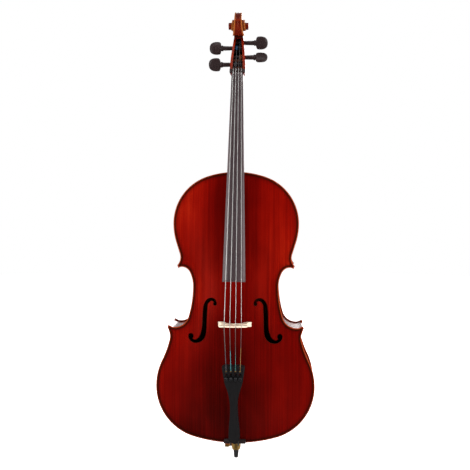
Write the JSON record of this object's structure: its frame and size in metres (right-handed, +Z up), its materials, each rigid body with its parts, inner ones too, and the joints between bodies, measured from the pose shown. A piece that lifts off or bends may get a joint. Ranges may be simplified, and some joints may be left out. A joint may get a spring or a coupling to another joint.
{
  "type": "cello",
  "caption": "Full-size red-varnished cello with arched plates, scroll and pegbox, turning pegs, bridge, tailpiece with working fine tuners and a retractable endpin.",
  "frame": {"origin": "centre of the flat foot of the endpin's rubber tip, on the endpin's axis, midway between the two plates", "axes": "+Z up the instrument from the endpin to the scroll, -Y out of the top plate towards the listener, +X towards the treble side (A string)"},
  "size_m": [0.4426, 0.2574, 1.2793],
  "materials": {
    "varnished_spruce": "deep red varnish over upright spruce grain, gloss",
    "varnished_maple": "deep red varnish over flamed maple, gloss",
    "bare_spruce": "bare, planed",
    "bare_maple": "bare, lightly oiled",
    "ebony": "oiled, satin",
    "black_composite": "satin black composite",
    "black_metal": "black plated, satin",
    "string_steel": "flat-wound steel and tungsten",
    "peg_silk": "coloured silk winding over string",
    "nylon_gut": "black tail cord",
    "brass": "gold lacquered, polished",
    "steel": "polished steel rod",
    "rubber": "matt black rubber"
  },
  "bodies": {
    "body": {"top_plate_bass": "varnished_spruce", "top_plate_treble": "varnished_spruce", "back_plate_bass": "varnished_maple", "back_plate_treble": "varnished_maple", "rib_lower_bass": "varnished_maple", "rib_lower_treble": "varnished_maple", "rib_waist_bass": "varnished_maple", "rib_waist_treble": "varnished_maple", "rib_upper_bass": "varnished_maple", "rib_upper_treble": "varnished_maple", "corner_block_lower_bass": "bare_spruce", "corner_block_lower_treble": "bare_spruce", "corner_block_upper_bass": "bare_spruce", "corner_block_upper_treble": "bare_spruce", "end_block": "bare_spruce", "neck_block": "bare_spruce", "top_linings": "bare_spruce", "back_linings": "bare_spruce", "bass_bar": "bare_spruce", "sound_post": "bare_spruce", "neck": "varnished_maple", "fingerboard": "ebony", "nut": "ebony", "saddle": "ebony", "bridge": "bare_maple", "tailpiece": "black_composite", "tuner_axle": "brass", "tail_gut": "nylon_gut", "string_c": "string_steel", "string_g": "string_steel", "string_d": "string_steel", "string_a": "string_steel", "endpin_ferrule": "brass", "endpin_plug": "ebony"},
    "peg_c": {"peg_c": "ebony", "winding_c": "peg_silk"},
    "peg_g": {"peg_g": "ebony", "winding_g": "peg_silk"},
    "peg_d": {"peg_d": "ebony", "winding_d": "peg_silk"},
    "peg_a": {"peg_a": "ebony", "winding_a": "peg_silk"},
    "lever_c": {"tuner_lever_c": "black_metal", "string_ball_c": "brass"},
    "fine_tuner_c": {"tuner_screw_c": "black_metal"},
    "lever_g": {"tuner_lever_g": "black_metal", "string_ball_g": "brass"},
    "fine_tuner_g": {"tuner_screw_g": "black_metal"},
    "lever_d": {"tuner_lever_d": "black_metal", "string_ball_d": "brass"},
    "fine_tuner_d": {"tuner_screw_d": "black_metal"},
    "lever_a": {"tuner_lever_a": "black_metal", "string_ball_a": "brass"},
    "fine_tuner_a": {"tuner_screw_a": "black_metal"},
    "endpin": {"endpin_rod": "steel", "endpin_rubber_tip": "rubber"},
    "thumb_screw": {"endpin_thumb_screw": "brass"}
  },
  "joints": [
    {"name": "peg_c_turn", "type": "hinge", "parent": "body", "child": "peg_c", "pos_m": [0, -0.01041, 1.125], "axis": [1, 0, 0], "continuous": true},
    {"name": "peg_g_turn", "type": "hinge", "parent": "body", "child": "peg_g", "pos_m": [0, 0.01071, 1.177], "axis": [1, 0, 0], "continuous": true},
    {"name": "peg_d_turn", "type": "hinge", "parent": "body", "child": "peg_d", "pos_m": [0, 0.01762, 1.194], "axis": [-1, 0, 0], "continuous": true},
    {"name": "peg_a_turn", "type": "hinge", "parent": "body", "child": "peg_a", "pos_m": [0, -0.00106, 1.148], "axis": [-1, 0, 0], "continuous": true},
    {"name": "fine_tuner_c_turn", "type": "hinge", "parent": "body", "child": "fine_tuner_c", "pos_m": [-0.01875, -0.13517, 0.25937], "axis": [0, 0.9669, 0.2553], "range_deg": [0, 720]},
    {"name": "lever_c_rock", "type": "hinge", "parent": "body", "child": "lever_c", "pos_m": [-0.01875, -0.13294, 0.27444], "axis": [1, 0, 0], "range_deg": [0, 4]},
    {"name": "fine_tuner_g_turn", "type": "hinge", "parent": "body", "child": "fine_tuner_g", "pos_m": [-0.00625, -0.13517, 0.25937], "axis": [0, 0.9669, 0.2553], "range_deg": [0, 720]},
    {"name": "lever_g_rock", "type": "hinge", "parent": "body", "child": "lever_g", "pos_m": [-0.00625, -0.13294, 0.27444], "axis": [1, 0, 0], "range_deg": [0, 4]},
    {"name": "fine_tuner_d_turn", "type": "hinge", "parent": "body", "child": "fine_tuner_d", "pos_m": [0.00625, -0.13517, 0.25937], "axis": [0, 0.9669, 0.2553], "range_deg": [0, 720]},
    {"name": "lever_d_rock", "type": "hinge", "parent": "body", "child": "lever_d", "pos_m": [0.00625, -0.13294, 0.27444], "axis": [1, 0, 0], "range_deg": [0, 4]},
    {"name": "fine_tuner_a_turn", "type": "hinge", "parent": "body", "child": "fine_tuner_a", "pos_m": [0.01875, -0.13517, 0.25937], "axis": [0, 0.9669, 0.2553], "range_deg": [0, 720]},
    {"name": "lever_a_rock", "type": "hinge", "parent": "body", "child": "lever_a", "pos_m": [0.01875, -0.13294, 0.27444], "axis": [1, 0, 0], "range_deg": [0, 4]},
    {"name": "endpin_slide", "type": "slide", "parent": "body", "child": "endpin", "axis": [0, 0, -1], "range_m": [0, 0.34]},
    {"name": "thumb_screw_turn", "type": "hinge", "parent": "body", "child": "thumb_screw", "pos_m": [0, 0, 0.035], "axis": [-1, 0, 0], "range_deg": [0, 720]}
  ],
  "couplings": [
    {"joint": "lever_c_rock", "follows": "fine_tuner_c_turn", "ratio": 0.0055556},
    {"joint": "lever_g_rock", "follows": "fine_tuner_g_turn", "ratio": 0.0055556},
    {"joint": "lever_d_rock", "follows": "fine_tuner_d_turn", "ratio": 0.0055556},
    {"joint": "lever_a_rock", "follows": "fine_tuner_a_turn", "ratio": 0.0055556}
  ]
}
